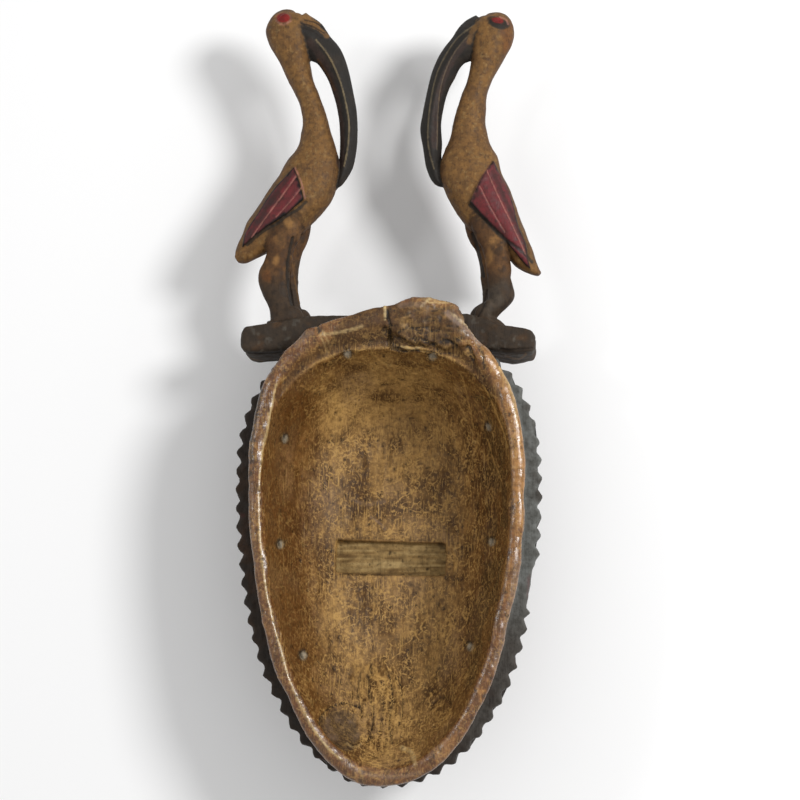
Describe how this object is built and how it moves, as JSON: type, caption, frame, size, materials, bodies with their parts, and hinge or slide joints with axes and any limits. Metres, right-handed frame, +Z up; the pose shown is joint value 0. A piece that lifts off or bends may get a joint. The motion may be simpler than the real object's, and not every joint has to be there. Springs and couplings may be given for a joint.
{
  "type": "carved face mask",
  "caption": "Hollow carved wooden face mask with a serrated border and a crest of long-beaked birds standing on a bar.",
  "frame": {"origin": "centre of the bounding box in plan, on the surface that the mask lies on", "axes": "+Z up out of the hollow, +Y from the chin to the birds' heads, +X to the right seen from behind the mask"},
  "size_m": [0.1965, 0.4921, 0.1],
  "materials": {
    "carved_wood": "worn, partly painted wood with a hand polish"
  },
  "bodies": {
    "root": {"mask": "carved_wood"}
  },
  "joints": []
}
